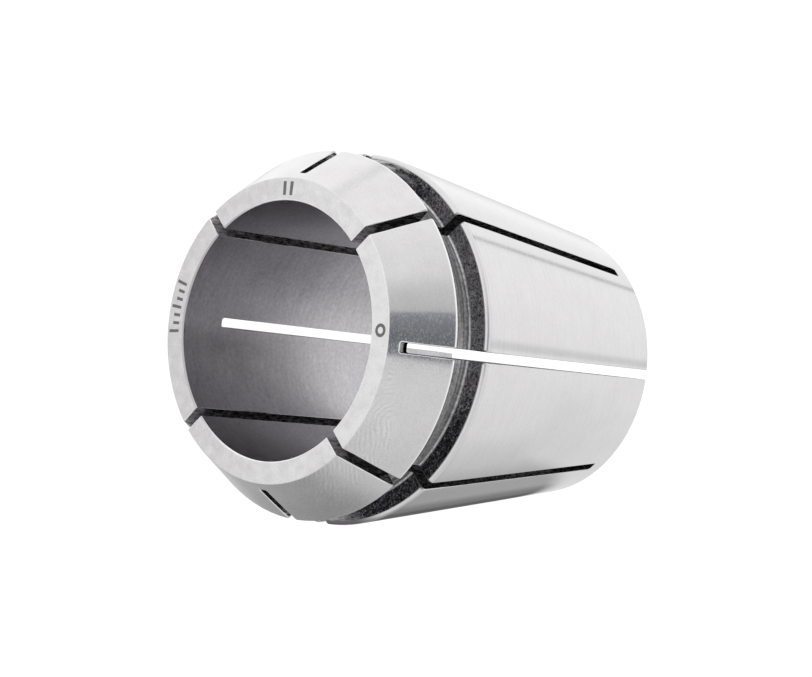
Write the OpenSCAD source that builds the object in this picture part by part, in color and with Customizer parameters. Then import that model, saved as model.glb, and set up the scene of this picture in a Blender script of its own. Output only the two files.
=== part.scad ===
// Spring collet for a round shank: a slotted steel sleeve that a taper closes.
// Frame: +Z runs along the bore axis towards the nose, and the origin is the
// centre of the rear face, so the collet stands on its small end.
// All sizes are in millimetres and all angles in degrees.

/* [Sleeve] */
// Length from the rear face to the nose face
length = 46; // [44:0.5:48]
// Diameter of the bore, which is the size of shank that it grips
bore_d = 28; // [24:0.5:28.5]
// Largest diameter, just behind the rounded front edge of the long taper
body_d = 41; // [40.5:0.1:41.5]
// Half angle of the long taper
taper_angle = 8; // [7:0.25:8.5]

/* [Nose] */
// Diameter of the flat nose face
face_d = 33; // [32:0.25:34]
// Half angle of the nose cone
nose_angle = 30; // [27:0.5:32]
// Length of the head, from the nose face to the groove
head_len = 6.9; // [6.2:0.1:7.2]
// Radius that rounds the rim of the head
rim_round = 0.4; // [0.2:0.05:0.6]
// Radius that breaks the edge between the nose face and the cone
face_round = 0.2; // [0.1:0.05:0.4]

/* [Groove] */
// Diameter of the groove floor
groove_d = 36.1; // [35:0.1:37]
// Width of the groove along the axis
groove_w = 4.2; // [3.6:0.1:4.8]
// Radius in the two corners of the groove
groove_fillet = 0.25; // [0.1:0.05:0.5]
// Radius that rounds the front edge of the long taper
shoulder_round = 0.45; // [0.2:0.05:0.7]

/* [Ends] */
// Chamfer at the nose end of the bore
nose_chamfer = 0.2; // [0.1:0.05:0.4]
// Chamfer at the rear end of the bore
rear_chamfer = 0.3; // [0.1:0.05:0.5]
// Radius that rounds the outer edge of the rear end
rear_round = 0.4; // [0.2:0.05:0.5]

/* [Slots] */
// Number of slots that start from each end
slots_per_end = 4; // [3:1:5]
// Width of a slot
slot_w = 1.1; // [0.8:0.1:1.5]
// Distance from the nose face to the closed ends of the rear slots, measured on the cone
nose_bridge = 1.2; // [0.8:0.1:2.5]
// Distance from the rear face to the closed ends of the nose slots, measured on the taper
rear_bridge = 2.4; // [1.5:0.1:5]
// Diameter of the saw that leaves the curved closed ends
saw_d = 63; // [50:1:80]
// Depth that the saw passes below the bore wall
saw_overrun = 4; // [2:0.5:5]
// Bevel on the worn corners of the saw's rim
saw_bevel = 0.2; // [0.1:0.05:0.3]
// Angle of the first rear slot about the axis
slot_turn = 0; // [-45:1:45]

/* [Hidden] */
$fn = 96;
bore_r = bore_d / 2;
face_r = face_d / 2;
groove_r = groove_d / 2;
saw_r = saw_d / 2;
// Height of the groove's front wall and of the shoulder behind it
head_z = length - head_len;
shoulder_z = head_z - groove_w;
// Steps along each rounded corner
corner_steps = 6;
// How far a cutter runs past the surface that it breaks through
clear = 2;

// Height at which the long taper meets its rounded front edge
gauge_z = shoulder_z - shoulder_round * cos(taper_angle) / tan((90 - taper_angle) / 2);

// Radius of the long taper at height z
function taper_r(z) = body_d / 2 - (gauge_z - z) * tan(taper_angle);

// Radius of the nose cone at height z
function cone_r(z) = face_r + (length - z) * tan(nose_angle);

function unit(v) = v / norm(v);

// Points of the arc that rounds corner b between its neighbours a and c.
// The arc touches both sides, and its centre lies on their bisector.
function corner_arc(a, b, c, radius) =
    let (
        to_a = unit(a - b),
        to_c = unit(c - b),
        half = acos(to_a * to_c) / 2,
        centre = b + unit(to_a + to_c) * radius / sin(half),
        start = b + to_a * radius / tan(half) - centre,
        end = b + to_c * radius / tan(half) - centre,
        first = atan2(start.y, start.x),
        raw = atan2(end.y, end.x) - first,
        sweep = raw > 180 ? raw - 360 : raw < -180 ? raw + 360 : raw
    )
    [for (i = [0 : corner_steps]) let (t = first + sweep * i / corner_steps)
        centre + radius * [cos(t), sin(t)]];

// Closed outline from corners of the form [[r, z], rounding radius]
function rounded_outline(corners) =
    let (n = len(corners))
    [for (i = [0 : n - 1])
        let (p = corners[i][0], radius = corners[i][1])
        for (q = radius == 0 ? [p]
                : corner_arc(corners[(i + n - 1) % n][0], p, corners[(i + 1) % n][0], radius))
            q];

// Half section of the sleeve, from the rear bore edge round to the nose bore edge
section = rounded_outline([
    [[bore_r, rear_chamfer], 0],
    [[bore_r + rear_chamfer, 0], 0],
    [[taper_r(0), 0], rear_round],
    [[taper_r(shoulder_z), shoulder_z], shoulder_round],
    [[groove_r, shoulder_z], groove_fillet],
    [[groove_r, head_z], groove_fillet],
    [[cone_r(head_z), head_z], rim_round],
    [[face_r, length], face_round],
    [[bore_r + nose_chamfer, length], 0],
    [[bore_r, length - nose_chamfer], 0]
]);

// Distance along the axis from the saw's centre to where its rim meets radius r
function saw_reach(r) = sqrt(pow(saw_r, 2) - pow(bore_r - saw_overrun + saw_r - r, 2));

// Saw blade lying across the X axis, with its rim's corners bevelled
module saw_blade() {
    half_w = slot_w / 2;
    rotate([90, 0, 0])
        rotate_extrude($fn = 180)
            polygon([
                [0, -half_w],
                [saw_r - saw_bevel, -half_w],
                [saw_r, saw_bevel - half_w],
                [saw_r, half_w - saw_bevel],
                [saw_r - saw_bevel, half_w],
                [0, half_w]
            ]);
}

// The space that the saw clears: it stops with its centre at height stop_z and
// leaves by the end at height exit_z
module slot_cut(stop_z, exit_z) {
    floor_r = bore_r - saw_overrun;
    low_z = min(stop_z, exit_z);
    translate([floor_r + saw_r, 0, stop_z])
        saw_blade();
    translate([floor_r, -slot_w / 2, low_z])
        cube([saw_r, slot_w, abs(exit_z - stop_z)]);
}

module slot_ring(stop_z, exit_z, turn) {
    for (i = [0 : slots_per_end - 1])
        rotate([0, 0, turn + i * 360 / slots_per_end])
            slot_cut(stop_z, exit_z);
}

// One piece, turned and ground from bar and then slotted alternately from both ends
module collet() {
    nose_end = length - nose_bridge;
    rear_stop = nose_end - saw_reach(cone_r(nose_end));
    nose_stop = rear_bridge + saw_reach(taper_r(rear_bridge));
    color([0.78, 0.78, 0.79])
        difference() {
            rotate_extrude($fn = 180)
                polygon(section);
            slot_ring(rear_stop, -clear, slot_turn);
            slot_ring(nose_stop, length + clear, slot_turn + 180 / slots_per_end);
        }
}

collet();
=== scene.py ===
"""Spring collet standing on its rear end: ground head and taper, turned groove, honed bore and saw slots.

Frame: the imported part's own, in metres, with +Z along the bore towards the nose.
Shapes are worked out in millimetres and scaled once, when a mesh is made.
"""
import math

import bpy
import numpy as np
from mathutils import Matrix, Vector


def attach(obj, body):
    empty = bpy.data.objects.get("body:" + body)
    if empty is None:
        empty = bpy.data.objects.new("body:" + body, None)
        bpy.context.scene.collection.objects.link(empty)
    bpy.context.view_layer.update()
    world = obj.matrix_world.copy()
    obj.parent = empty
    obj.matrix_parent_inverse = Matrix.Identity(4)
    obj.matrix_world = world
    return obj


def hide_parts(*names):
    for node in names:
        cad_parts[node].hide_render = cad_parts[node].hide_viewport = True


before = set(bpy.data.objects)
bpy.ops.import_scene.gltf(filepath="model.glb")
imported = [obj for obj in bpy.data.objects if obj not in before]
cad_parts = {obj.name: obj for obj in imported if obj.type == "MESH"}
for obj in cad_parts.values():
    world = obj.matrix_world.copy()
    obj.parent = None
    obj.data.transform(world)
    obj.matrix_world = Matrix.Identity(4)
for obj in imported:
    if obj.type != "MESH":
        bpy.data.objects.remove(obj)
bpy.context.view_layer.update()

MM = 0.001

# ---------------------------------------------------------------- the collet's sizes, in mm
LENGTH = 46.0
BORE_R = 14.0
FACE_R = 16.5
BODY_R = 20.5
TAPER = math.radians(8)
NOSE = math.radians(30)
HEAD_Z = LENGTH - 6.9
SHOULDER_Z = HEAD_Z - 4.2
GROOVE_R = 18.05
RIM_ROUND, SHOULDER_ROUND, REAR_ROUND, FACE_ROUND = 0.4, 0.45, 0.4, 0.2
GROOVE_FILLET = 0.25
NOSE_CHAMFER, REAR_CHAMFER = 0.13, 0.3
NOSE_MOUTH_ROUND, REAR_MOUTH_ROUND = 0.2, 0.3
HALF_SLOT = 0.55
NOSE_BRIDGE, REAR_BRIDGE = 1.2, 2.4
SAW_R = 31.5
SAW_CORNER = 0.22
SAW_DEPTH = 4.0
# Distance of the saw's centre from the bore's axis
SAW_X = BORE_R - SAW_DEPTH + SAW_R
# How far the slots' edges are broken: at the closed ends outside and in the bore, and on the end faces
REAR_SLOT_EDGE, NOSE_SLOT_EDGE, BORE_EDGE = 0.17, 0.06, 0.05
NOSE_FACE_EDGE, REAR_FACE_EDGE = 0.08, 0.09

# ---------------------------------------------------------------- cells of the grids
END_FLAT, END_CORNER = 2, 3
END_CELLS = END_FLAT + END_CORNER
EDGE_CELLS, WALL_CELLS, SKIN_CELLS = 3, 8, 22
MOUTH_CELLS = 5
CONE_CELLS, BODY_CELLS = 6, 22


def taper_r(z):
    """Radius of the long taper at height z, which is BODY_R where its rounded front edge starts."""
    gauge = SHOULDER_Z - SHOULDER_ROUND * math.cos(TAPER) / math.tan((math.pi / 2 - TAPER) / 2)
    return BODY_R - (gauge - z) * math.tan(TAPER)


def cone_r(z):
    """Radius of the nose cone at height z."""
    return FACE_R + (LENGTH - z) * math.tan(NOSE)


def saw_reach(r):
    """Distance along the axis from the saw's centre to where its rim meets radius r."""
    return math.sqrt(SAW_R ** 2 - (SAW_X - r) ** 2)


# ---------------------------------------------------------------- camera
def photo_camera():
    """Camera that sees the collet lying on its side, as the photograph does.

    The collet's axes are written in the camera's own axes, right, down and forward, from
    the turn and rise of the bore and the roll of the slots, and the camera is placed by the
    inverse. Pixels for the focal length and the centre, mm for the nose face's centre.
    Returns the matrix that takes the camera's axes to the collet's.
    """
    image_w, image_h = 812, 677
    focal, centre_x, centre_y = 2815.31, 399.09, 332.62
    face = np.array([-13.447, -0.286, 301.68])
    turn, rise, roll = math.radians(41.727), math.radians(4.513), math.radians(5.58)
    axis = np.array([math.sin(turn) * math.cos(rise), math.sin(rise), math.cos(turn) * math.cos(rise)])
    down = np.array([0.0, 1.0, 0.0])
    below = down - axis * (down @ axis)
    below /= np.linalg.norm(below)
    beside = np.cross(below, axis)
    z_axis, y_axis = -axis, -(math.cos(roll) * beside + math.sin(roll) * below)
    to_collet = np.stack([np.cross(y_axis, z_axis), y_axis, z_axis])
    place = -to_collet @ (face + LENGTH * axis) * MM
    turned = to_collet @ np.diag([1.0, -1.0, -1.0])

    data = bpy.data.cameras.new("camera")
    data.sensor_width = 36.0
    data.lens = focal * data.sensor_width / image_w
    data.shift_x = ((image_w - 1) / 2 - centre_x) / image_w
    data.shift_y = (centre_y - (image_h - 1) / 2) / image_w
    data.clip_start, data.clip_end = 0.01, 20.0
    camera = bpy.data.objects.new("camera", data)
    bpy.context.scene.collection.objects.link(camera)
    camera.matrix_world = Matrix.LocRotScale(Vector(place), Matrix(turned.tolist()).to_quaternion(), None)
    bpy.context.scene.camera = camera
    return to_collet


camera_to_collet = photo_camera()


# ---------------------------------------------------------------- the turned profile
def line_points(a, b, shares):
    """Points a + share (b - a) of a straight run, with its outward normal at each."""
    a, b = np.array(a), np.array(b)
    way = (b - a) / np.linalg.norm(b - a)
    shares = np.asarray(shares)[:, None]
    return a + shares * (b - a), np.repeat([[-way[1], way[0]]], len(shares), 0)


def corner_points(a, b, c, radius, cells):
    """Rounded corner b between a and c: centre plus or minus radius times a normal that
    turns evenly from the first side's normal to the second's."""
    a, b, c = (np.array(p, float) for p in (a, b, c))
    w0, w1 = (b - a) / np.linalg.norm(b - a), (c - b) / np.linalg.norm(c - b)
    n0, n1 = np.array([-w0[1], w0[0]]), np.array([-w1[1], w1[0]])
    turn = math.atan2(n0[0] * n1[1] - n0[1] * n1[0], n0 @ n1)
    side = -1.0 if turn > 0 else 1.0
    start = b - w0 * radius * math.tan(abs(turn) / 2)
    centre = start - side * radius * n0
    t = np.linspace(0, turn, cells + 1)
    normal = np.stack([n0[0] * np.cos(t) - n0[1] * np.sin(t), n0[0] * np.sin(t) + n0[1] * np.cos(t)], 1)
    return centre + side * radius * normal, normal


def spread(first, last, cells, low=1.0, high=1.0):
    """Places from first to last whose steps grow evenly, in the ratio of low to high."""
    steps = np.linspace(low, high, cells)
    return first + (last - first) * np.concatenate([[0.0], np.cumsum(steps)]) / steps.sum()


def even_shares(cells):
    """Shares from 0 to 1 that crowd towards both ends: half of 1 - cos."""
    return 0.5 - 0.5 * np.cos(np.linspace(0, math.pi, cells + 1))


# ---------------------------------------------------------------- the slots
class Slots:
    """One set of four slots: where the saw stopped, and the straight runs that its rim left by.

    A run is a point and the outward normal of a straight side of the profile, and how far
    the slot's edge is broken there. P is the edge of the skin, Q the sharp corner and W the
    edge of the slot's wall.
    """

    def __init__(self, stop_z, sense, foot, normal, edge):
        self.stop_z, self.sense = stop_z, sense
        self.outside = (np.array(foot), np.array(normal), edge)
        self.inside = (np.array([BORE_R, 0.0]), np.array([-1.0, 0.0]), BORE_EDGE)
        turn = np.linspace(0, math.pi / 2, 2 * END_CORNER + 1)
        flat = np.linspace(0, HALF_SLOT - SAW_CORNER, END_FLAT + 1)[:-1]
        self.beta = np.concatenate([np.zeros(END_FLAT), turn])
        self.y = np.concatenate([flat, HALF_SLOT - SAW_CORNER + SAW_CORNER * np.sin(turn)])
        self.rho = SAW_R - SAW_CORNER + SAW_CORNER * np.cos(self.beta)

    def rim(self, t):
        """Point of the saw's rim at angle t: the centre, less rho cos t along x, plus rho sin t along z."""
        return SAW_X - self.rho * np.cos(t), self.stop_z + self.sense * self.rho * np.sin(t)

    def hit(self, run, depth):
        """Angle t at which each part of the rim lies at that depth under a straight run, by Newton's rule."""
        foot, normal, _ = run
        t = np.full(len(self.y), math.acos((SAW_X - foot[0]) / SAW_R))
        for _ in range(12):
            x, z = self.rim(t)
            r = np.hypot(x, self.y)
            gap = (r - foot[0]) * normal[0] + (z - foot[1]) * normal[1] + depth
            slope = normal[0] * x / r * self.rho * np.sin(t) + normal[1] * self.sense * self.rho * np.cos(t)
            t = t - gap / slope
        return t

    def end(self, run):
        """Closed end on one run, as radius or x, y and z: edges P, Q and W, with the rim's angle at W."""
        foot, normal, edge = run
        away = self.sense * np.array([-normal[1], normal[0]])
        away *= np.sign(away[1]) * self.sense
        x, z = self.rim(self.hit(run, 0.0))
        sharp = np.stack([x, self.y, z], 1)
        r = np.hypot(x, self.y) + edge * np.cos(self.beta) * away[0]
        skin = np.stack([r, self.y + edge * np.sin(self.beta), z + edge * np.cos(self.beta) * away[1]], 1)
        t = self.hit(run, edge)
        x, z = self.rim(t)
        return {"P": skin, "Q": sharp, "W": np.stack([x, self.y, z], 1), "t": t}

    def wall_normals(self, t):
        """Normal of the steel on the saw's rim and its rounded corner: to the saw's centre, out of the cut."""
        towards = np.cos(self.beta)
        return np.stack([towards * np.cos(t), -np.sin(self.beta), -self.sense * towards * np.sin(t)], 1)


rear_slots = Slots(LENGTH - NOSE_BRIDGE - saw_reach(cone_r(LENGTH - NOSE_BRIDGE)), 1,
                   (FACE_R, LENGTH), (math.cos(NOSE), math.sin(NOSE)), REAR_SLOT_EDGE)
nose_slots = Slots(REAR_BRIDGE + saw_reach(taper_r(REAR_BRIDGE)), -1,
                   (taper_r(0), 0.0), (math.cos(TAPER), -math.sin(TAPER)), NOSE_SLOT_EDGE)


# ---------------------------------------------------------------- the closed section
GROUND, GROOVE, SHOULDER, BORE, WALL, EDGE = range(6)


def join(parts):
    """Runs laid end to end: each part's first point is the last one's, so it is left out."""
    points = np.concatenate([parts[0][0]] + [p[0][1:] for p in parts[1:]])
    normals = np.concatenate([parts[0][1]] + [p[1][1:] for p in parts[1:]])
    zones = np.concatenate([np.full(len(p[0]) - 1, p[2]) for p in parts])
    return points, normals, zones


def outer_rows():
    """Rows from the nose face's flat to the rear face's flat, over cone, rim, groove and taper.

    Returns them, the row where each run starts, the row where the rear slots' closed end
    starts and the row where the nose slots' closed end stops.
    """
    face, rim = (FACE_R, LENGTH), (cone_r(HEAD_Z), HEAD_Z)
    front, back = (GROOVE_R, HEAD_Z), (GROOVE_R, SHOULDER_Z)
    shoulder, rear = (taper_r(SHOULDER_Z), SHOULDER_Z), (taper_r(0), 0.0)
    face_arc = corner_points((0, LENGTH), face, rim, FACE_ROUND, 4)
    rim_arc = corner_points(face, rim, front, RIM_ROUND, 7)
    front_arc = corner_points(rim, front, back, GROOVE_FILLET, 4)
    back_arc = corner_points(front, back, shoulder, GROOVE_FILLET, 5)
    shoulder_arc = corner_points(back, shoulder, rear, SHOULDER_ROUND, 7)
    rear_arc = corner_points(shoulder, rear, (0, 0), REAR_ROUND, 6)

    def end_shares(slots, run):
        """Shares of a run at which the slots' closed end starts and has its full width."""
        (a, b), end = run, slots.end(slots.outside)
        first, full = end["P"][0][[0, 2]], np.array([np.hypot(*end["Q"][-1][:2]), end["Q"][-1][2]])
        return [(p - a) @ (b - a) / ((b - a) @ (b - a)) for p in (first, full)]

    def flat(before, after, cells):
        """Straight run between two rounded corners."""
        return line_points(before[0][-1], after[0][0], spread(0, 1, cells))

    cone_run = face_arc[0][-1], rim_arc[0][0]
    start, full = end_shares(rear_slots, cone_run)
    cone = np.concatenate([spread(0, start, CONE_CELLS, 2.0, 0.4), spread(start, full, END_CORNER)[1:],
                           spread(full, 1, 8, 0.4, 1.4)[1:]])
    body_run = shoulder_arc[0][-1], rear_arc[0][0]
    start, full = end_shares(nose_slots, body_run)
    body = np.concatenate([spread(0, full, BODY_CELLS, 0.8, 0.6), spread(full, start, END_CORNER)[1:],
                           spread(start, 1, 5, 0.4, 1.2)[1:]])
    parts = [(*face_arc, GROUND), (*line_points(*cone_run, cone), GROUND), (*rim_arc, GROUND),
             (*flat(rim_arc, front_arc, 3), GROOVE), (*front_arc, GROOVE),
             (*flat(front_arc, back_arc, 6), GROOVE), (*back_arc, GROOVE),
             (*flat(back_arc, shoulder_arc, 3), SHOULDER), (*shoulder_arc, GROUND),
             (*line_points(*body_run, body), GROUND), (*rear_arc, GROUND)]
    runs = np.cumsum([0] + [len(p[0]) - 1 for p in parts])
    return join(parts), runs, runs[1] + CONE_CELLS, runs[9] + BODY_CELLS + END_CORNER


def bore_rows(outer, runs, rear_end, nose_end):
    """Rows of the bore from nose to rear, one for each outer row, with a chamfer at each mouth.

    Under the groove they stay under its walls, so that a straight line from any outer row
    to its bore row runs inside the steel.
    """
    nose_chamfer = (BORE_R, LENGTH - NOSE_CHAMFER), (BORE_R + NOSE_CHAMFER, LENGTH)
    rear_chamfer = (BORE_R + REAR_CHAMFER, 0), (BORE_R, REAR_CHAMFER)
    nose_arcs = (corner_points((BORE_R, 0), *nose_chamfer, NOSE_MOUTH_ROUND, 2),
                 corner_points(*nose_chamfer, (FACE_R, LENGTH), NOSE_MOUTH_ROUND, 2))
    rear_arcs = (corner_points((FACE_R, 0), *rear_chamfer, REAR_MOUTH_ROUND, 2),
                 corner_points(*rear_chamfer, (BORE_R, LENGTH), REAR_MOUTH_ROUND, 2))
    top, bottom = ([np.concatenate([second[k][::-1], first[k][::-1]]) for k in (0, 1)]
                   for first, second in (nose_arcs, rear_arcs))
    rear_cut, nose_cut = rear_slots.end(rear_slots.inside), nose_slots.end(nose_slots.inside)
    rear_start, rear_full = rear_cut["P"][0][2], rear_cut["Q"][-1][2]
    nose_start, nose_full = nose_cut["P"][0][2], nose_cut["Q"][-1][2]
    first, last = rear_end + END_CORNER, nose_end - END_CORNER
    # depths under the nose face of the bore's rows where the rim, the groove's parts and the shoulder start
    depths = np.array([6.5, 6.65, 6.82, 7.1, 10.9, 11.15, 11.35, 11.75])
    middle = np.interp(np.arange(first, last + 1), [first, *runs[2:10], last],
                       [rear_full, *(LENGTH - depths), nose_full])
    upper = spread(top[0][-1][1], rear_start, rear_end - MOUTH_CELLS, 1.0, 0.5)
    lower = spread(nose_start, bottom[0][0][1], len(outer) - 1 - nose_end - MOUTH_CELLS, 0.5, 1.0)
    z = np.concatenate([upper[1:], spread(rear_start, rear_full, END_CORNER)[1:], middle[1:],
                        spread(nose_full, nose_start, END_CORNER)[1:], lower[1:-1]])
    straight = np.stack([np.full(len(z), BORE_R), z], 1)
    normal = np.repeat([[-1.0, 0.0]], len(z), 0)
    return np.concatenate([top[0], straight, bottom[0]]), np.concatenate([top[1], normal, bottom[1]])


def outer_edges(last):
    """How far each outer row's slot edge is broken: wider where two edges meet in a corner."""
    rim_middle, groove_middle, shoulder_middle = ((runs[k] + runs[k + 1]) / 2 for k in (2, 5, 8))
    rows, sizes = zip((0, NOSE_FACE_EDGE), (rear_end, REAR_SLOT_EDGE), (rear_end + END_CORNER, REAR_SLOT_EDGE),
                      (runs[2] - 3, 0.12), (rim_middle, 0.22), (runs[3] + 2, 0.06), (groove_middle, 0.05),
                      (runs[7], 0.06), (shoulder_middle, 0.26), (runs[9] + 3, NOSE_SLOT_EDGE),
                      (nose_end, NOSE_SLOT_EDGE), (last, REAR_FACE_EDGE))
    return np.interp(np.arange(last + 1), rows, sizes)


def bore_edges(last):
    """How far each bore row's slot edge is broken: a little more in the mouths."""
    rows, sizes = zip((0, NOSE_FACE_EDGE), (2, 0.1), (4, 0.07), (6, BORE_EDGE),
                      (last - 6, BORE_EDGE), (last - 4, 0.07), (last - 2, 0.1), (last, REAR_FACE_EDGE))
    return np.interp(np.arange(last + 1), rows, sizes)


(outer_rz, outer_n, outer_zone), runs, rear_end, nose_end = outer_rows()
bore_rz, bore_n = bore_rows(outer_rz, runs, rear_end, nose_end)
last_row = len(outer_rz) - 1
face_shares = even_shares(WALL_CELLS)[1:-1]
nose_face = line_points(bore_rz[0], outer_rz[0], face_shares)
rear_face = line_points(outer_rz[-1], bore_rz[-1], face_shares)
bore_edge, outer_edge = bore_edges(last_row), outer_edges(last_row)
bore_zone = np.full(last_row, BORE)
bore_zone[:MOUTH_CELLS] = bore_zone[-MOUTH_CELLS:] = EDGE

# The closed section, from the bore's row at the rear slots' end up to the nose and round
upper, lower = slice(rear_end, None, -1), slice(None, rear_end - 1, -1)
loop_rz = np.concatenate([bore_rz[upper], nose_face[0], outer_rz, rear_face[0], bore_rz[lower]])
loop_n = np.concatenate([bore_n[upper], nose_face[1], outer_n, rear_face[1], bore_n[lower]])
loop_edge = np.concatenate([bore_edge[upper], np.full(len(face_shares), NOSE_FACE_EDGE), outer_edge,
                            np.full(len(face_shares), REAR_FACE_EDGE), bore_edge[lower]])
loop_zone = np.concatenate([bore_zone[:rear_end][::-1], np.full(WALL_CELLS, GROUND), outer_zone,
                            np.full(WALL_CELLS, GROUND), bore_zone[rear_end:][::-1]])
loop_last = len(loop_rz) - 1
outer_start = rear_end + WALL_CELLS
# Rows of the section at the closed ends: the rear slots' outside, and the nose slots' outside and in the bore
rear_cut_row = outer_start + rear_end
nose_cut_rows = outer_start + nose_end, loop_last - (nose_end - rear_end)


# ---------------------------------------------------------------- the collet's surface
def to_space(r, y, z):
    """Point at radius r and height z, at a distance y from the plane through the axis."""
    return np.stack([np.sqrt(r * r - y * y), y, z], -1)


def round_normals(normal, y, r):
    """Normals of a section turned to points at a distance y from its plane."""
    return np.stack([normal[..., 0] * np.sqrt(1 - (y / r) ** 2), normal[..., 0] * y / r, normal[..., 1]], -1)


def slot_side(slots, path):
    """Edges P, Q and W of one slot along the rows in path, from its closed end outside to the one in the bore.

    Each holds the closed ends before and after the rows. P is held as radius, y and z.
    """
    (r, z), normal, edge = loop_rz[path].T, loop_n[path], loop_edge[path]
    half = np.full(len(r), HALF_SLOT)
    skin = np.stack([r, half + edge, z], 1)
    sharp = to_space(r, half, z)
    wall = sharp - edge[:, None] * np.stack([normal[:, 0], 0 * half, normal[:, 1]], 1)
    keep = END_CORNER + 1
    outside, inside = slots.end(slots.outside), slots.end(slots.inside)
    side = {"t": (outside["t"], inside["t"]), "skin": skin}
    for name, rows in (("P", skin), ("Q", sharp), ("W", wall)):
        rows[:keep], rows[-keep:] = outside[name][-keep:], inside[name][-keep:][::-1]
        side[name] = np.concatenate([outside[name][:-keep], rows, inside[name][:-keep][::-1]])
    normal = np.concatenate([np.repeat([slots.outside[1]], END_CELLS, 0), normal,
                             np.repeat([slots.inside[1]], END_CELLS, 0)])
    side["skin_n"] = round_normals(normal, side["P"][:, 1], side["P"][:, 0])
    side["wall_n"] = np.repeat([[0.0, -1.0, 0.0]], len(normal), 0)
    count = len(slots.beta)
    side["wall_n"][:count] = slots.wall_normals(outside["t"])
    side["wall_n"][-count:] = slots.wall_normals(inside["t"])[::-1]
    return side


def edge_strip(side):
    """Broken edge: a parabola from the skin over the sharp corner to the wall, with normals turned between."""
    share = np.linspace(0, 1, EDGE_CELLS + 1)[None, :, None]
    skin = to_space(*side["P"].T)[:, None]
    corner, wall = side["Q"][:, None], side["W"][:, None]
    points = (1 - share) ** 2 * skin + 2 * share * (1 - share) * corner + share ** 2 * wall
    normals = (1 - share) * side["skin_n"][:, None] + share * side["wall_n"][:, None]
    return points, normals


def slot_wall(slots, side, reach):
    """Wall of a slot: straight lines from its outer edge to its bore edge, and the saw's arcs at the closed end.

    The arcs bulge from the straight lines, and the bulge fades out over the next few rows.
    """
    share = even_shares(WALL_CELLS)
    outer, inner = side["W"][:reach + 1], side["W"][::-1][:reach + 1]
    points = outer[:, None] + share[None, :, None] * (inner - outer)[:, None]
    count, fade_rows = len(slots.beta), 6
    t = side["t"][0][:, None] + share * (side["t"][1] - side["t"][0])[:, None]
    rho = slots.rho[:, None]
    x, z = SAW_X - rho * np.cos(t), slots.stop_z + slots.sense * rho * np.sin(t)
    arcs = np.stack([x, np.repeat(slots.y[:, None], len(share), 1), z], -1)
    bulge = arcs[-1] - points[count - 1]
    points[:count] = arcs
    fade = np.linspace(1, 0, fade_rows + 2)[1:-1] ** 2
    points[count:count + fade_rows] += fade[:, None, None] * bulge
    points[-1] = side["W"][reach:reach + WALL_CELLS + 1]
    normals = np.zeros_like(points)
    normals[..., 1] = -1.0
    normals[:count] = np.stack([slots.wall_normals(t[:, k]) for k in range(len(share))], 1)
    return points, normals


def mirrored(points):
    """A slot's own frame turned to the sector's far side: the plane at 45 degrees, with y pointing back."""
    c = math.sqrt(0.5)
    x, y, z = points[..., 0], points[..., 1], points[..., 2]
    return np.stack([c * (x + y), c * (x - y), z], -1)


def grid_faces(rows, columns):
    """Quads of a grid with that many points each way."""
    i, j = np.meshgrid(np.arange(rows - 1), np.arange(columns - 1), indexing="ij")
    a = (i * columns + j).ravel()
    return np.stack([a, a + columns, a + columns + 1, a + 1], 1)


def facing_out(faces, points, normals):
    """Turns a grid's quads round where their own normals point against the surface's."""
    corner = points[faces]
    across = np.cross(corner[:, 2] - corner[:, 0], corner[:, 3] - corner[:, 1])
    return faces if np.sum(across * normals[faces[:, 0]]) > 0 else faces[:, ::-1]


def closed_span(side, rows, first_out):
    """Skin across a slot's closed end: from the slot's middle plane to the first column, row by row.

    The distance from the middle plane goes evenly from the outside's to the bore's. Also
    returns the last column's.
    """
    columns = END_CELLS + 1
    outside, inside = side["P"][:columns], side["P"][::-1][:columns]
    share = np.linspace(0, 1, len(rows))[:, None]
    share = share if first_out else 1 - share
    y = outside[:, 1] * (1 - share) + inside[:, 1] * share
    r, z = (np.repeat(v[:, None], columns, 1) for v in loop_rz[rows].T)
    at_out, at_in = (0, -1) if first_out else (-1, 0)
    r[at_out], z[at_out] = outside[:, 0], outside[:, 2]
    r[at_in], z[at_in] = inside[:, 0], inside[:, 2]
    normals = round_normals(np.repeat(loop_n[rows][:, None], columns, 1), y, r)
    return to_space(r, y, z), normals, y[:, -1]


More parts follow.
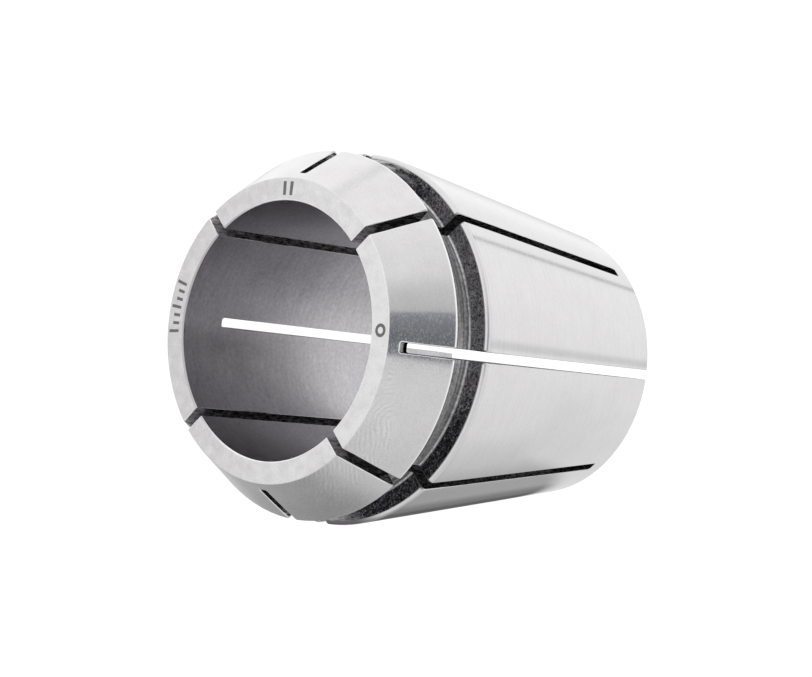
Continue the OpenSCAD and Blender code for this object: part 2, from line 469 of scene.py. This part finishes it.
def sector():
    """One eighth of the collet, from the middle plane of a rear slot to that of a nose slot.

    The skin is the closed section swept from slot edge to slot edge: its angle goes from
    one edge's to the other's, and close to an edge it takes on that edge's own radius and
    height. Each slot adds its broken edge, its wall and the skin across its closed end.
    """
    near = 0.05
    outside_cut, bore_cut = nose_cut_rows
    rear_path, rear_rows = np.arange(rear_cut_row, loop_last + 1), np.arange(0, rear_cut_row + 1)
    nose_path = np.concatenate([np.arange(outside_cut, 0, -1), np.arange(loop_last, bore_cut - 1, -1)])
    nose_rows = np.arange(outside_cut, bore_cut + 1)
    rear_side, nose_side = slot_side(rear_slots, rear_path), slot_side(nose_slots, nose_path)
    rear_span = closed_span(rear_side, rear_rows, False)
    nose_span = closed_span(nose_side, nose_rows, True)

    def bound(side, path, span, rows):
        """Edge of the skin at one slot for every row of the section, as radius, y and z."""
        edge = np.stack([loop_rz[:, 0], np.zeros(loop_last + 1), loop_rz[:, 1]], 1)
        edge[rows, 1] = span[2]
        edge[path] = side["skin"]
        edge[0] = edge[loop_last]
        return edge

    rear_bound = bound(rear_side, rear_path, rear_span, rear_rows)
    nose_bound = bound(nose_side, nose_path, nose_span, nose_rows)
    share = even_shares(SKIN_CELLS)
    first = np.arcsin(rear_bound[:, 1] / rear_bound[:, 0])[:, None]
    final = math.pi / 4 - np.arcsin(nose_bound[:, 1] / nose_bound[:, 0])[:, None]
    theta = first + share * (final - first)
    near_rear = np.clip(1 - share / near, 0, 1) ** 2
    near_nose = np.clip(1 - (1 - share) / near, 0, 1) ** 2

    def pulled(own, rear, nose):
        """The section's own radius or height, pulled to the two edges' close to them."""
        return own[:, None] + near_rear * (rear - own)[:, None] + near_nose * (nose - own)[:, None]

    r = pulled(loop_rz[:, 0], rear_bound[:, 0], nose_bound[:, 0])
    z = pulled(loop_rz[:, 1], rear_bound[:, 2], nose_bound[:, 2])
    skin = np.stack([r * np.cos(theta), r * np.sin(theta), z], -1)
    skin_n = np.stack([loop_n[:, :1] * np.cos(theta), loop_n[:, :1] * np.sin(theta),
                       np.repeat(loop_n[:, 1:], len(share), 1)], -1)
    patches = [(skin, skin_n, loop_zone), (*rear_span[:2], loop_zone[:rear_cut_row]),
               (mirrored(nose_span[0]), mirrored(nose_span[1]), loop_zone[outside_cut:bore_cut])]
    for slots, side, reach, placed in ((rear_slots, rear_side, END_CELLS + last_row - rear_end, np.asarray),
                                       (nose_slots, nose_side, END_CELLS + nose_end, mirrored)):
        for (points, normals), zone in ((edge_strip(side), EDGE), (slot_wall(slots, side, reach), WALL)):
            patches.append((placed(points), placed(normals), np.full(len(points) - 1, zone)))
    return patches


def whole_collet(patches):
    """Eight sectors, each the mirror image of the one before it, welded where their points agree."""
    cells_per_mm = 1e5
    points, normals, faces, zones = [], [], [], []
    count = 0
    for k in range(8):
        c, s = math.cos(k * math.pi / 4), math.sin(k * math.pi / 4)
        turn = np.array([[c, -s, 0], [s, c, 0], [0, 0, 1.0]])
        for patch, normal, zone in patches:
            if k % 2:
                patch, normal = mirrored(patch), mirrored(normal)
            rows, columns = patch.shape[:2]
            patch, normal = patch.reshape(-1, 3) @ turn.T, normal.reshape(-1, 3) @ turn.T
            points.append(patch)
            normals.append(normal)
            faces.append(facing_out(grid_faces(rows, columns), patch, normal) + count)
            zones.append(np.repeat(zone, columns - 1))
            count += rows * columns
    points, normals, faces, zones = (np.concatenate(a) for a in (points, normals, faces, zones))
    normals /= np.linalg.norm(normals, axis=1, keepdims=True)
    cells = np.round(points * cells_per_mm).astype(np.int64)
    _, first, found = np.unique(cells, axis=0, return_index=True, return_inverse=True)
    return points[first], normals[first], found.reshape(-1)[faces], zones


def add_mesh(name, points, faces, normals, zones, materials):
    """Puts whole arrays of points in millimetres and quads into a mesh object at the origin."""
    mesh = bpy.data.meshes.new(name)
    mesh.vertices.add(len(points))
    mesh.vertices.foreach_set("co", (points * MM).astype(np.float32).ravel())
    mesh.loops.add(faces.size)
    mesh.loops.foreach_set("vertex_index", faces.astype(np.int32).ravel())
    mesh.polygons.add(len(faces))
    mesh.polygons.foreach_set("loop_start", np.arange(0, faces.size, faces.shape[1], dtype=np.int32))
    for material in materials:
        mesh.materials.append(material)
    mesh.polygons.foreach_set("material_index", zones.astype(np.int32))
    mesh.update(calc_edges=True)
    mesh.polygons.foreach_set("use_smooth", np.ones(len(faces), bool))
    mesh.normals_split_custom_set_from_vertices(normals)
    piece = bpy.data.objects.new(name, mesh)
    bpy.context.scene.collection.objects.link(piece)
    return piece


# ---------------------------------------------------------------- shader maths
class Value:
    """A socket that Python expressions can use: each operator on it adds a Math node."""

    def __init__(self, paint, socket):
        self.paint, self.socket = paint, socket

    def math(self, operation, *others, clamp=False):
        settings = {"operation": operation, "use_clamp": clamp}
        return self.paint.node("Math", settings, dict(enumerate((self, *others))))

    def __add__(self, other):
        return self.math("ADD", other)

    def __sub__(self, other):
        return self.math("SUBTRACT", other)

    def __rsub__(self, other):
        return self.paint.node("Math", {"operation": "SUBTRACT"}, {0: other, 1: self})

    def __mul__(self, other):
        return self.math("MULTIPLY", other)

    def __truediv__(self, other):
        return self.math("DIVIDE", other)

    __radd__, __rmul__ = __add__, __mul__

    def clamped(self):
        """The value, kept between 0 and 1."""
        return self.math("ADD", 0.0, clamp=True)

    def step(self, low, high, first=0.0, last=1.0):
        """Smooth step from first to last as the value goes from low to high."""
        inputs = {0: self, 1: low, 2: high, 3: first, 4: last}
        return self.paint.node("MapRange", {"interpolation_type": "SMOOTHSTEP"}, inputs)


class Paint:
    """The nodes of one material, or of the world."""

    def __init__(self, owner):
        owner.use_nodes = True
        self.tree = owner.node_tree
        self.tree.nodes.clear()

    def node(self, kind, settings=None, inputs=None, output=0):
        """Adds a node: its settings first, then its sockets' values or links, and returns one output."""
        node = self.tree.nodes.new("ShaderNode" + kind)
        for key, value in (settings or {}).items():
            setattr(node, key, value)
        for key, value in (inputs or {}).items():
            if isinstance(value, Value):
                self.tree.links.new(value.socket, node.inputs[key])
            else:
                node.inputs[key].default_value = value
        return Value(self, node.outputs[output])

    def coordinates(self, name="Object"):
        return self.node("TexCoord", output=name)

    def split(self, vector):
        return [self.node("SeparateXYZ", None, {0: vector}, axis) for axis in range(3)]

    def joined(self, x, y, z):
        return self.node("CombineXYZ", None, {0: x, 1: y, 2: z})

    def noise(self, vector, scale, detail=2.0, roughness=0.5):
        """Smooth noise, from -1 to 1 or so, with its middle at 0."""
        inputs = {"Vector": vector, "Scale": scale, "Detail": detail, "Roughness": roughness}
        return (self.node("TexNoise", None, inputs) - 0.5) * 4

    def mix(self, share, first, second):
        """Colour between two colours."""
        first, second = (c if isinstance(c, Value) else (*c, 1.0) for c in (first, second))
        return self.node("Mix", {"data_type": "RGBA"}, {0: share, 6: first, 7: second}, 2)

    def seen_by(self, *kinds):
        """1 for rays of the given kinds, such as Camera, and 0 for the others."""
        seen = self.node("LightPath", output=f"Is {kinds[0]} Ray")
        for kind in kinds[1:]:
            seen = seen.math("MAXIMUM", self.node("LightPath", output=f"Is {kind} Ray"))
        return seen

    def finish(self, shader, kind="OutputMaterial"):
        output = self.tree.nodes.new("ShaderNode" + kind)
        self.tree.links.new(shader.socket, output.inputs[0])


def facing(degrees):
    """Cosine and sine of an angle round the bore's axis."""
    return math.cos(math.radians(degrees)), math.sin(math.radians(degrees))


# Angles round the axis that the camera sees at the right and at the bottom of the lying collet
SEEN_RIGHT, SEEN_DOWN = -84.42, -174.42


class Steel(Paint):
    """One finish of the steel, with places in mm: x, y, z, the radius r and the direction (cx, cy) round the axis."""

    def __init__(self, name):
        self.material = bpy.data.materials.new(name)
        super().__init__(self.material)
        self.place = self.coordinates()
        x, y, z = (axis * (1 / MM) for axis in self.split(self.place))
        self.r = (x * x + y * y).math("SQRT")
        self.x, self.y, self.z, self.cx, self.cy = x, y, z, x / self.r, y / self.r

    def towards(self, degrees):
        """Cosine of the angle round the axis between a place and a fixed direction."""
        cx, cy = facing(degrees)
        return self.cx * cx + self.cy * cy

    def around(self, degrees, none, full):
        """1 within full degrees of a direction round the axis, falling to 0 at none degrees."""
        return self.towards(degrees).step(facing(none)[0], facing(full)[0])

    def grain(self, per_mm, detail=2.0, roughness=0.5):
        """Even grain, from -1 to 1 or so, with that many grains to the millimetre."""
        return self.noise(self.place, per_mm / MM, detail, roughness)

    def rings(self, along, turns, per_mm, detail=3.0, roughness=0.6):
        """Lines round the axis, from -1 to 1 or so: noise stretched along the turn by its few turns."""
        return self.noise(self.joined(self.cx * turns, self.cy * turns, along * per_mm), 1.0, detail, roughness)

    def whorl(self):
        """Rubbed loops low on the cone, from -1 to 1: hairpins that open downwards, broken up here and there.

        across and up are distances on the cone from the middle of the loops, whose waves
        follow the distance from the line that runs straight down from it.
        """
        slant, rise, across_0, up_0 = 0.746, 0.666, 17.4, 9.5
        waves_per_mm, waver = 2.1, 0.65
        cx, cy = facing(SEEN_RIGHT)
        across = (self.x * cx + self.y * cy) * slant - self.z * rise + across_0
        up = (self.y * cx - self.x * cy + up_0).math("MAXIMUM", 0.0)
        away = (across * across + up * up).math("SQRT")
        waves = ((away * waves_per_mm + self.grain(0.35, 3.0, 0.6) * waver) * (2 * math.pi)).math("SINE")
        rubbed = self.towards(-128).step(0.78, 0.92) * across.step(0.5, -0.6)
        return waves * rubbed * (self.grain(1.0, 2.0) * 1.3 + 0.5).clamped()

    def shaded(self, share, dark, light):
        """Colour from dark to light as share goes from 0 to 1."""
        return self.mix(share.clamped(), dark, light)

    def made(self, soot=None, height=None, **sockets):
        """Puts the finish on: what changes over the surface, a height in mm for the relief, and dull soot."""
        inputs = {"Metallic": 1.0, **{key.replace("_", " "): value for key, value in sockets.items()}}
        if height is not None:
            inputs["Normal"] = self.node("Bump", None, {"Strength": 1.0, "Distance": MM, "Height": height}, "Normal")
        shader = self.node("BsdfPrincipled", None, inputs)
        if soot is not None:
            black = self.node("BsdfDiffuse", None, {"Color": (0.006, 0.006, 0.006, 1)})
            shader = self.node("MixShader", None, {0: soot, 1: shader, 2: black})
        self.finish(shader)
        return self.material


# ---------------------------------------------------------------- the finishes
def etched_marks(steel):
    """Plain register marks on the nose face: a scale of short ticks, two bars and a ring, from 0 to 1."""
    band_r, soft = 15.4, 0.03
    scale_at, bars_at = 85.6, 2.1
    ring_at, ring_r, ring_inner, ring_outer = -84.4, 15.35, 0.36, 0.72
    angle = steel.cy.math("ARCTAN2", steel.cx)
    on_face = steel.z.step(LENGTH - 0.05, LENGTH - 0.02)

    def within(value, low, high):
        return value.step(low - soft, low + soft) * value.step(high + soft, high - soft)

    def ticks(turn, pitch, count, wide, low, high):
        """Count ticks, pitch mm apart, centred on an angle, between two radii."""
        arc = (angle - math.radians(turn)) * band_r
        off = (arc if count % 2 else arc + pitch / 2).math("PINGPONG", pitch / 2)
        line = off.step(wide / 2 + soft, wide / 2 - soft)
        return line * within(arc, -pitch * count / 2, pitch * count / 2) * within(steel.r, low, high)

    short = ticks(scale_at, 0.9, 7, 0.34, 14.75, 15.7)
    long = ticks(scale_at, 2.7, 3, 0.34, 14.75, 16.2)
    bars = ticks(bars_at, 1.0, 2, 0.44, 14.6, 16.1)
    cx, cy = facing(ring_at)
    x, y = steel.x - ring_r * cx, steel.y - ring_r * cy
    ring = within((x * x + y * y).math("SQRT"), ring_inner, ring_outer)
    return short.math("MAXIMUM", long).math("MAXIMUM", bars).math("MAXIMUM", ring) * on_face


def ground_steel():
    """Ground head, nose face and taper: fine lines round the axis, rubbed loops on the cone and matt specks."""
    steel = Steel("ground_steel")

    # where things are: the head, all but the nose face, and the head's matt side
    head = steel.z.step(HEAD_Z - 1, HEAD_Z)
    turned = steel.z.step(LENGTH - 0.02, LENGTH - 0.1)
    rough_side = 1 - steel.towards(-20).step(0.3, 0.8) * 0.8

    # patterns, from -1 to 1 or so
    along = steel.z - steel.r * 0.9
    lines = steel.rings(along, 2.5, 7.0, 4.0, 0.7) * turned
    arcs = steel.rings(along, 9.0, 3.0, 2.0) * turned
    fine = steel.grain(3.5, 3.0, 0.7)
    cloud = steel.grain(0.35, 3.0) * turned
    mottle = steel.grain(0.7, 3.0, 0.6) * (1 - turned)
    flecks = steel.rings(along, 45.0, 8.0, 2.0) * 0.7 + steel.grain(5.0, 2.0) * 0.6
    grit = flecks * head * turned * rough_side
    pits = steel.grain(1.9, 1.0).step(0.85, 1.25) * head * rough_side
    whorl = steel.whorl() * steel.z.step(41.0, 43.0) * head * turned

    # places, from 0 to 1: a line scribed behind the shoulder, painted shade low on the cone, a
    # painted highlight along the rim, the matt collar round the shoulder's edge, and the dark part of it
    marks = etched_marks(steel)
    scribed = steel.z.step(SHOULDER_Z - 0.9, SHOULDER_Z - 0.78) * steel.z.step(SHOULDER_Z - 0.56, SHOULDER_Z - 0.66)
    # painted shade: darker base colour low on the cone, on the side seen at the bottom
    painted_shade_low_cone = steel.towards(-172).step(0.72, 0.98) * steel.z.step(LENGTH - 1, LENGTH - 5.5) * head
    # painted highlight: a bright band along the rim, only on the side seen at the right
    rim = steel.towards(SEEN_RIGHT).step(-0.3, 0.3) * steel.z.step(HEAD_Z + 0.62, HEAD_Z + 0.4) * head * turned
    narrowed = steel.towards(-150).step(0.75, 0.95) * 0.3
    collar = (steel.z - narrowed).step(SHOULDER_Z - 0.7, SHOULDER_Z - 0.4)
    collar = collar * steel.z.step(SHOULDER_Z + 0.2, SHOULDER_Z + 0.1)
    dark_collar = steel.towards(-188).step(0.82, 0.93) * collar

    share = 0.62 + lines * (0.09 - head * 0.05) + arcs * (0.08 - head * 0.04) + fine * 0.12
    share = share + cloud * (head * 0.07 + 0.07) + mottle * 0.36 + whorl * 0.30 + grit * 0.26
    # painted light: the nose face is lighter towards the side seen at the right and darker towards the other side
    share = share + steel.towards(SEEN_RIGHT) * (1 - turned) * 0.3
    share = share - scribed * (fine * 0.4 + 0.3) - painted_shade_low_cone * 0.5 - pits * 0.4
    colour = steel.shaded(share, (0.61, 0.595, 0.605), (0.84, 0.83, 0.838))
    colour = steel.mix(marks, colour, (0.2, 0.195, 0.2))
    colour = steel.mix(rim, colour, (0.98, 0.97, 0.98))
    colour = steel.mix(dark_collar, colour, (0.17, 0.16, 0.172))
    specks = flecks.step(-0.45, 0.7) * (head * rough_side * 0.20 + 0.04)
    rough = (0.065 + specks + cloud * 0.012 + collar * 0.22) * (1 - marks) + marks * 0.55
    height = lines * (0.0003 - head * 0.0001) + fine * 0.00015 + grit * 0.0003 + whorl * 0.0006 - marks * 0.004
    return steel.made(Base_Color=colour, Roughness=rough, height=height)


def groove_steel():
    """Turned groove floor: clear tool rings, light and dark, over the tool's even feed."""
    steel = Steel("turned_groove")
    feed_pitch = 0.55
    rings = steel.rings(steel.z, 0.8, 1.7, 3.0, 0.65)
    fine = steel.grain(3.0, 2.0)
    feed = ((steel.z - SHOULDER_Z - feed_pitch) * (2 * math.pi / feed_pitch)).math("COSINE")
    dull = steel.towards(-40).step(0.7, 0.95) * 0.29 + steel.towards(-128).step(0.75, 0.95) * 0.12
    front = steel.z.step(SHOULDER_Z + 1.0, SHOULDER_Z + 1.6)
    share = 0.35 + rings * 0.8 + fine * 0.3 + feed * 0.16 - dull - front * 0.2
    return steel.made(Base_Color=steel.shaded(share, (0.30, 0.295, 0.30), (1.0, 1.0, 1.0)),
                      Roughness=0.5 + rings * 0.05, height=rings * 0.002)


def shoulder_steel():
    """Blackened shoulder wall: a coarse dark grain with light specks and scores, rubbed bright at two places."""
    steel = Steel("blackened_shoulder")
    coarse = steel.grain(3.4, 3.0, 0.75)
    drag = steel.rings(steel.r, 10.0, 3.0, 2.0)
    specks = steel.grain(6.0, 1.0).step(0.1, 0.9)
    scores = steel.grain(2.2, 2.0).math("ABSOLUTE").step(0.2, 0.0) * steel.grain(1.1, 1.0).step(-0.7, 0.7)
    rubbed = steel.around(4, 30, 15) + steel.around(182, 17, 6) * 0.6
    rubbed = rubbed * (drag * 0.9 + 0.6).clamped()
    paler = steel.around(-68, 50, 20)
    share = coarse * 0.5 - 0.04 + drag * 0.05 + specks * 0.45 + scores * (paler * 0.8 + 0.5) + paler * 0.39
    colour = steel.shaded(share, (0.017, 0.0155, 0.019), (0.50, 0.485, 0.51))
    colour = steel.mix(rubbed, colour, (0.8, 0.8, 0.8))
    return steel.made(Base_Color=colour, Roughness=0.5 - rubbed * 0.2, height=coarse * 0.012)


def bore_steel():
    """Honed bore: dull, with soft lines round the axis and a fine even grain, and painted light on one side, as a
    lighter copy of its colour.
    """
    steel = Steel("honed_bore")
    lines = steel.rings(steel.z, 3.0, 2.6, 4.0, 0.7)
    fine = steel.grain(2.6, 3.0, 0.65)
    cloud = steel.grain(0.25, 3.0)
    # painted light: a lighter copy of the bore's colour on one side
    painted_light_side = steel.towards(106).step(0.76, 0.98) * steel.z.step(42, 19)
    share = 0.5 + lines * 0.2 + fine * 0.3 + cloud * 0.14
    dull = steel.shaded(share, (0.297, 0.283, 0.303), (0.56, 0.548, 0.568))
    bright = steel.shaded(share, (0.45, 0.437, 0.455), (0.74, 0.728, 0.748))
    return steel.made(Base_Color=steel.mix(painted_light_side, dull, bright), Roughness=0.30 + cloud * 0.03,
                      height=lines * 0.0006 + fine * 0.0006)


def sawn_steel():
    """Slot walls: dull and dark, with the saw's strokes along them and soot at the closed ends.

    A closed end is where the distance from the place where the saw stopped is the saw's
    radius. Inside the rear slots the soot starts some way under the skin.
    """
    steel = Steel("sawn_walls")
    stroke = steel.z * 0.6
    strokes = steel.noise(steel.joined(stroke, stroke, steel.r * 3.4), 1.0, 4.0, 0.65)
    fine = steel.grain(3.2, 3.0, 0.7)
    from_nose = (steel.cx * steel.cy).math("ABSOLUTE").step(0.2, 0.3)
    across = SAW_X - steel.r

    def from_saw(past):
        """Distance from the saw's centre, for places past it towards the closed end."""
        return (across * across + past * past).math("SQRT") * past.step(0, 1)

    rear_slot = from_saw(steel.z - rear_slots.stop_z) * (1 - from_nose)
    nose_slot = from_saw(nose_slots.stop_z - steel.z) * from_nose
    end = rear_slot.math("MAXIMUM", nose_slot).step(SAW_R - 0.5, SAW_R - 0.1)
    deep = steel.r.step(15.7, 14.8)
    # painted light: the walls are lighter in colour near the nose mouth, where light comes in; they are also rougher
    # there
    mouth = steel.z.step(LENGTH - 2.2, LENGTH - 1.0) * steel.r.step(17.2, 16.4)
    share = 0.32 + strokes * 0.85 + fine * 0.45 + mouth * 0.6
    colour = steel.shaded(share, (0.03, 0.026, 0.031), (0.66, 0.64, 0.655))
    colour = steel.mix(end, colour, (0.9, 0.89, 0.9))
    rough = 0.32 + fine * 0.04 + end * 0.2 + mouth * 0.25
    return steel.made(Base_Color=colour, Roughness=rough, height=strokes * 0.003 + fine * 0.003,
                      soot=end * deep.math("MAXIMUM", from_nose))


def edge_steel():
    """Broken edges, rubbed bright here and there, dark in the groove and dull in the mouth."""
    steel = Steel("broken_edges")
    rub = steel.grain(0.8, 3.0)
    head = steel.z.step(HEAD_Z + 0.5, HEAD_Z + 1.5)
    mouth = steel.towards(86).step(0.2, 0.8) * steel.r.step(15.0, 14.6) * steel.z.step(LENGTH - 1, LENGTH - 0.5)
    groove = steel.z.step(SHOULDER_Z - 0.35, SHOULDER_Z + 0.1) * steel.z.step(HEAD_Z + 0.1, HEAD_Z - 0.2)
    groove = groove * steel.r.step(20.6, 20.2)
    colour = steel.shaded(0.5 + rub * 0.4, (0.50, 0.49, 0.50), (0.84, 0.83, 0.838))
    colour = steel.mix(head, colour, steel.shaded(0.7 + rub * 0.5, (0.72, 0.71, 0.72), (0.97, 0.965, 0.97)))
    colour = steel.mix(mouth, colour, (0.5, 0.495, 0.5))
    return steel.made(Base_Color=steel.mix(groove, colour, (0.10, 0.10, 0.105)),
                      Roughness=0.2 + rub * 0.05 + groove * 0.3)


finishes = [ground_steel(), groove_steel(), shoulder_steel(), bore_steel(), sawn_steel(), edge_steel()]
points, normals, faces, zones = whole_collet(sector())
collet = add_mesh("spring_collet", points, faces, normals, zones, finishes)
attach(collet, "root")
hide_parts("collet")


# ---------------------------------------------------------------- studio
def studio():
    """White surroundings with a dark opening beside the camera and a dim side below and behind.

    A direction's turn and rise are its angles in degrees about the camera's own right, up
    and back, which are fixed in the collet's frame, so that other views see the same room.
    """
    world = bpy.data.worlds.new("studio")
    bpy.context.scene.world = world
    paint = Paint(world)
    way = paint.coordinates("Generated")

    def along(axis):
        """Cosine of the angle between a ray's direction and an axis."""
        axis = tuple(float(v) for v in axis)
        return paint.node("VectorMath", {"operation": "DOT_PRODUCT"}, {0: way, 1: axis}, "Value")

    def direction(turn, rise):
        (back, side), (level, up) = facing(turn), facing(rise)
        return camera_to_collet @ np.array([side * level, -up, -back * level])

    def lobe(turn, rise, wide, narrow):
        """1 within narrow degrees of a direction, falling to 0 at wide degrees."""
        return along(direction(turn, rise)).step(facing(wide)[0], facing(narrow)[0])

    def seam(first, second, wide):
        """1 on the great circle through two directions, falling to 0 at wide degrees, near those two only."""
        first, second = direction(*first), direction(*second)
        across, middle = np.cross(first, second), first + second
        across, middle = across / np.linalg.norm(across), middle / np.linalg.norm(middle)
        near = along(middle).step(facing(14)[0], facing(6)[0])
        return along(across).math("ABSOLUTE").step(facing(wide)[1], 0.0) * near

    degrees = 180 / math.pi
    right, down, forward = (along(axis) for axis in camera_to_collet.T)
    rise = (down * -1.0).math("ARCSINE") * degrees
    turn = right.math("ARCTAN2", forward * -1.0) * degrees

    # the room, a little brighter upwards and at two places behind the collet
    strength = rise.step(-85, 20, 0.70, 1.0) + rise.step(0, 25) * 0.03
    strength = strength + lobe(176, 14, 24, 8) * 0.06 + lobe(-170, 48, 32, 12) * 0.08

    # dim places: turn, rise, wide, narrow and how much darker. Three are beside the camera,
    # one is far below, and four shade the underside of the taper
    for *place, darker in ((40, 12, 62, 20, 0.14), (40, 12, 27, 9, 0.27), (-86, 4, 50, 20, 0.09),
                           (-155, -50, 46, 3, 0.49),
                           (173, -14, 34, 17, 0.31), (173, -14, 13.5, 3, 0.55),
                           (160, -30, 30, 5, 0.22), (178, -11, 9, 4, 0.52)):
        strength = strength * (1 - lobe(*place) * darker)

    # sharp ones: the opening that the cone reflects, the horizon, a gap between two panels and their seam
    opening = rise.step(-11.8, -9.2) * rise.step(15.9, 15.2) * turn.step(16, 22) * turn.step(57, 51)
    horizon = rise.step(-4.5, -3.1) * rise.step(0.3, -2.3) * turn.step(95, 105) * turn.step(135, 128)
    gap = (turn - 138.3).math("ABSOLUTE") / (rise * -0.22 + 6.75)
    gap = gap.step(1.0, 0.0) * rise.step(20.0, 21.5) * rise.step(28.0, 26.0)
    strength = strength * (1 - opening * (rise.step(15, 0) * 0.14 + 0.54)) * (1 - horizon * 0.2)
    strength = strength * (1 - gap * (rise.step(21, 27) * 0.24 + 0.42))
    strength = strength * (1 - seam((-179, 70.8), (-177.9, 68), 1.8) * 0.17)

    seen = paint.seen_by("Camera")
    strength = seen + strength * (1 - seen)
    colour = paint.mix(opening * (1 - seen), (1, 1, 1), (0.95, 0.985, 1.075))
    paint.finish(paint.node("Background", None, {"Color": colour, "Strength": strength}), "OutputWorld")


def flat_sheet(name, half, z):
    """Square of that half side at height z, in metres, and its bare material."""
    mesh = bpy.data.meshes.new(name)
    mesh.from_pydata([(-half, -half, z), (half, -half, z), (half, half, z), (-half, half, z)], [], [(0, 1, 2, 3)])
    sheet = bpy.data.objects.new(name, mesh)
    bpy.context.scene.collection.objects.link(sheet)
    material = bpy.data.materials.new(name)
    mesh.materials.append(material)
    return sheet, material


def pale_floor():
    """Floor that looks white and keeps the collet's shadow, of which a fifth is in view outside the rear edge."""
    floor, material = flat_sheet("floor", 3, 0)
    paint = Paint(material)
    seen = paint.seen_by("Camera", "Glossy", "Transmission")
    x, y, _ = paint.split(paint.coordinates())
    # painted light: inside the rear edge the floor is all glow, which hides the collet's shadow there
    middle = (x * x + y * y).math("SQRT").step(17 * MM, 15.7 * MM)
    pale = paint.node("BsdfDiffuse", None, {"Color": (0.85, 0.85, 0.85, 1)})
    glow = paint.node("Emission", None, {"Strength": 1.15})
    paint.finish(paint.node("MixShader", None, {0: seen * (middle * 0.2 + 0.8), 1: pale, 2: glow}))
    floor.visible_glossy = False


def white_pad():
    """White pad under the collet, which only the steel reflects.

    Across and down are in mm, along the directions that the camera sees as right and down.
    The lower edge lies at 16.9 mm down, and bends away with the cube of the reach across.
    """
    pad, material = flat_sheet("pad", 0.03, -2e-5)
    paint = Paint(material)
    x, y, _ = paint.split(paint.coordinates())
    (right_x, right_y), (down_x, down_y) = facing(SEEN_RIGHT), facing(SEEN_DOWN)
    across, down = (x * right_x + y * right_y) * (1 / MM), (x * down_x + y * down_y) * (1 / MM)
    reach = across.math("MAXIMUM", 0.0)
    inside = (reach * reach * reach * 0.0027 + 16.9 - down) / (reach * 0.22 + 0.8)
    cover = (x * x + y * y).math("SQRT").step(28 * MM, 24 * MM) * inside.step(-1, 1) * down.step(2, 7)
    bright, dim = (paint.node("Emission", None, {"Strength": strength}) for strength in (1.08, 0.80))
    white = paint.node("MixShader", None, {0: down.step(-10, 20), 1: bright, 2: dim})
    paint.finish(paint.node("MixShader", None, {0: cover, 1: paint.node("BsdfTransparent"), 2: white}))
    material.cycles.emission_sampling = "NONE"
    pad.visible_camera = pad.visible_diffuse = pad.visible_shadow = False


studio()
bpy.context.scene.view_settings.view_transform = "Standard"
pale_floor()
white_pad()
